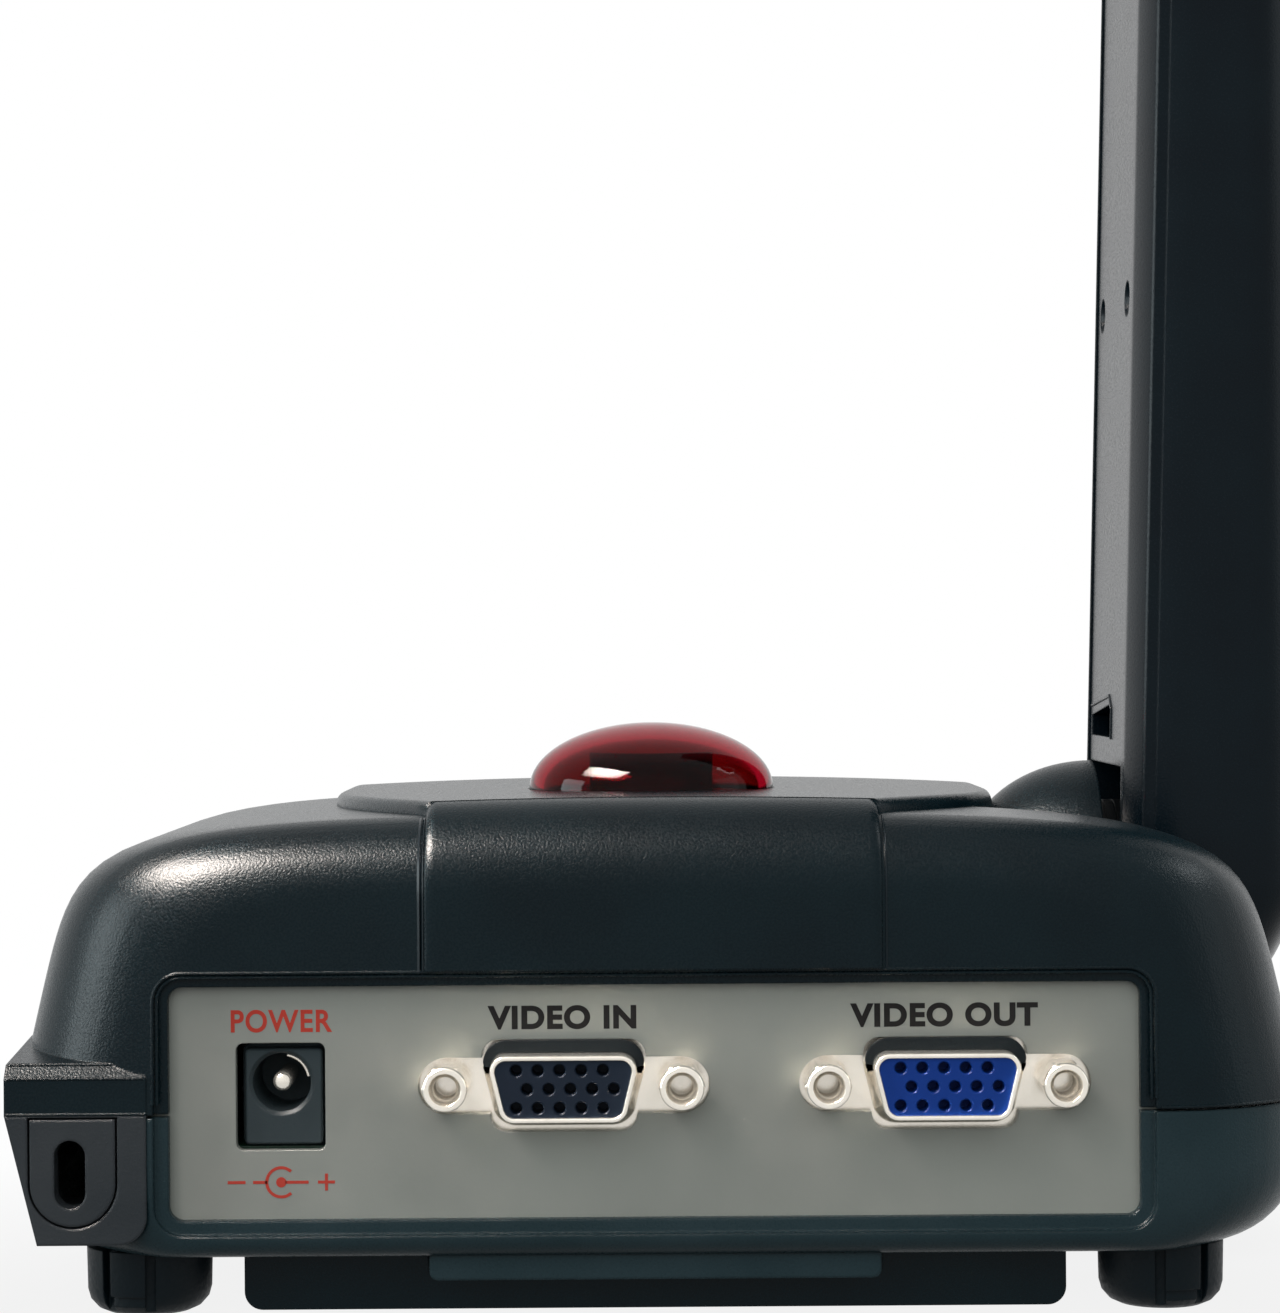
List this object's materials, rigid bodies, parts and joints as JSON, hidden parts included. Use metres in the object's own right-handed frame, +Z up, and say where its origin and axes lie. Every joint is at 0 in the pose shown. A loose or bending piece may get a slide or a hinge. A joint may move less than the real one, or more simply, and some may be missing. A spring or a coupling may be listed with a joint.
{
  "type": "video magnifier",
  "caption": "Portable document camera: low base with a rear connector panel, red infrared dome and sloped control deck, folding side arm, jib and slim camera head.",
  "frame": {"origin": "on the table under the middle of the base", "axes": "+X to the right seen from behind, +Y forward from the rear panel, +Z up"},
  "size_m": [0.356, 0.3016, 0.2807],
  "materials": {
    "case_plastic": "fine spark-eroded grain",
    "black_steel": "satin black",
    "panel_black": "satin film",
    "panel_grey": "satin grey",
    "nickel": "plated",
    "connector_black": "moulded",
    "connector_blue": "moulded",
    "red_window": "polished, translucent",
    "rubber": "matt",
    "steel": "plain",
    "aluminium": "satin",
    "circuit_board": "solder mask",
    "lamp_white": "diffusing",
    "lens_glass": "coated",
    "key_grey": "fine grain"
  },
  "bodies": {
    "base": {"upper_case": "case_plastic", "lower_case": "case_plastic", "arm_rest": "case_plastic", "top_deck": "case_plastic", "control_panel": "panel_black", "keypad_mat": "rubber", "keypad_board": "circuit_board", "rear_io_panel": "panel_grey", "ir_window": "red_window", "ir_receiver": "connector_black", "vga_input_shell": "nickel", "vga_input_insert": "connector_black", "vga_output_shell": "nickel", "vga_output_insert": "connector_blue", "vga_jack_nuts": "nickel", "dc_jack_body": "connector_black", "dc_jack_pin": "nickel", "lock_bracket": "case_plastic", "lock_plate": "black_steel", "feet": "case_plastic", "foot_pads": "rubber", "ballast_cover": "case_plastic", "ballast_weight": "steel", "main_board": "circuit_board", "case_screws": "steel", "hinge_bracket": "steel", "hinge_pin": "steel", "friction_washers": "steel", "hinge_nut": "steel"},
    "arm": {"arm_spine": "steel", "arm_outer_shell": "case_plastic", "arm_inner_cover": "case_plastic", "arm_screws": "steel", "elbow_fork": "case_plastic", "elbow_pin": "steel"},
    "jib": {"jib_frame": "aluminium", "jib_top_shell": "case_plastic", "jib_bottom_shell": "case_plastic", "led_lens": "lamp_white", "led_board": "circuit_board"},
    "head": {"head_pivot_block": "aluminium", "head_top_shell": "case_plastic", "head_bottom_shell": "case_plastic", "lens_barrel": "connector_black", "lens_glass": "lens_glass", "sensor_board": "circuit_board"},
    "focus_ring": {"focus_ring": "rubber"},
    "button_power": {"button_power": "key_grey"},
    "button_lamp": {"button_lamp": "key_grey"},
    "button_freeze": {"button_freeze": "key_grey"},
    "button_menu": {"button_menu": "key_grey"},
    "button_zoom_in": {"button_zoom_in": "key_grey"},
    "button_zoom_out": {"button_zoom_out": "key_grey"},
    "button_up": {"button_up": "key_grey"},
    "button_down": {"button_down": "key_grey"},
    "button_left": {"button_left": "key_grey"},
    "button_right": {"button_right": "key_grey"},
    "button_enter": {"button_enter": "key_grey"}
  },
  "joints": [
    {"name": "arm_fold", "type": "hinge", "parent": "base", "child": "arm", "pos_m": [0.0554, -0.088, 0.044], "axis": [-1, 0, 0], "range_deg": [0, 88]},
    {"name": "elbow_fold", "type": "hinge", "parent": "arm", "child": "jib", "pos_m": [0.0894, -0.088, 0.262], "axis": [0, -1, 0], "range_deg": [-90, 0]},
    {"name": "head_turn", "type": "hinge", "parent": "jib", "child": "head", "pos_m": [0.216, -0.088, 0.262], "axis": [1, 0, 0], "range_deg": [0, 90]},
    {"name": "focus_turn", "type": "hinge", "parent": "head", "child": "focus_ring", "pos_m": [0.258, -0.088, 0.262], "axis": [0, 0, 1], "range_deg": [-90, 90]},
    {"name": "press_power", "type": "slide", "parent": "base", "child": "button_power", "axis": [0, -0.0698, -0.9976], "range_m": [0, 0.0009], "stiffness_N_per_m": 1500, "springref_m": -0.0002},
    {"name": "press_lamp", "type": "slide", "parent": "base", "child": "button_lamp", "axis": [0, -0.0698, -0.9976], "range_m": [0, 0.0009], "stiffness_N_per_m": 1500, "springref_m": -0.0002},
    {"name": "press_freeze", "type": "slide", "parent": "base", "child": "button_freeze", "axis": [0, -0.0698, -0.9976], "range_m": [0, 0.0009], "stiffness_N_per_m": 1500, "springref_m": -0.0002},
    {"name": "press_menu", "type": "slide", "parent": "base", "child": "button_menu", "axis": [0, -0.0698, -0.9976], "range_m": [0, 0.0009], "stiffness_N_per_m": 1500, "springref_m": -0.0002},
    {"name": "press_zoom_in", "type": "slide", "parent": "base", "child": "button_zoom_in", "axis": [0, -0.0698, -0.9976], "range_m": [0, 0.0009], "stiffness_N_per_m": 1500, "springref_m": -0.0002},
    {"name": "press_zoom_out", "type": "slide", "parent": "base", "child": "button_zoom_out", "axis": [0, -0.0698, -0.9976], "range_m": [0, 0.0009], "stiffness_N_per_m": 1500, "springref_m": -0.0002},
    {"name": "press_up", "type": "slide", "parent": "base", "child": "button_up", "axis": [0, -0.0698, -0.9976], "range_m": [0, 0.0009], "stiffness_N_per_m": 1500, "springref_m": -0.0002},
    {"name": "press_down", "type": "slide", "parent": "base", "child": "button_down", "axis": [0, -0.0698, -0.9976], "range_m": [0, 0.0009], "stiffness_N_per_m": 1500, "springref_m": -0.0002},
    {"name": "press_left", "type": "slide", "parent": "base", "child": "button_left", "axis": [0, -0.0698, -0.9976], "range_m": [0, 0.0009], "stiffness_N_per_m": 1500, "springref_m": -0.0002},
    {"name": "press_right", "type": "slide", "parent": "base", "child": "button_right", "axis": [0, -0.0698, -0.9976], "range_m": [0, 0.0009], "stiffness_N_per_m": 1500, "springref_m": -0.0002},
    {"name": "press_enter", "type": "slide", "parent": "base", "child": "button_enter", "axis": [0, -0.0698, -0.9976], "range_m": [0, 0.0009], "stiffness_N_per_m": 1500, "springref_m": -0.0002}
  ]
}
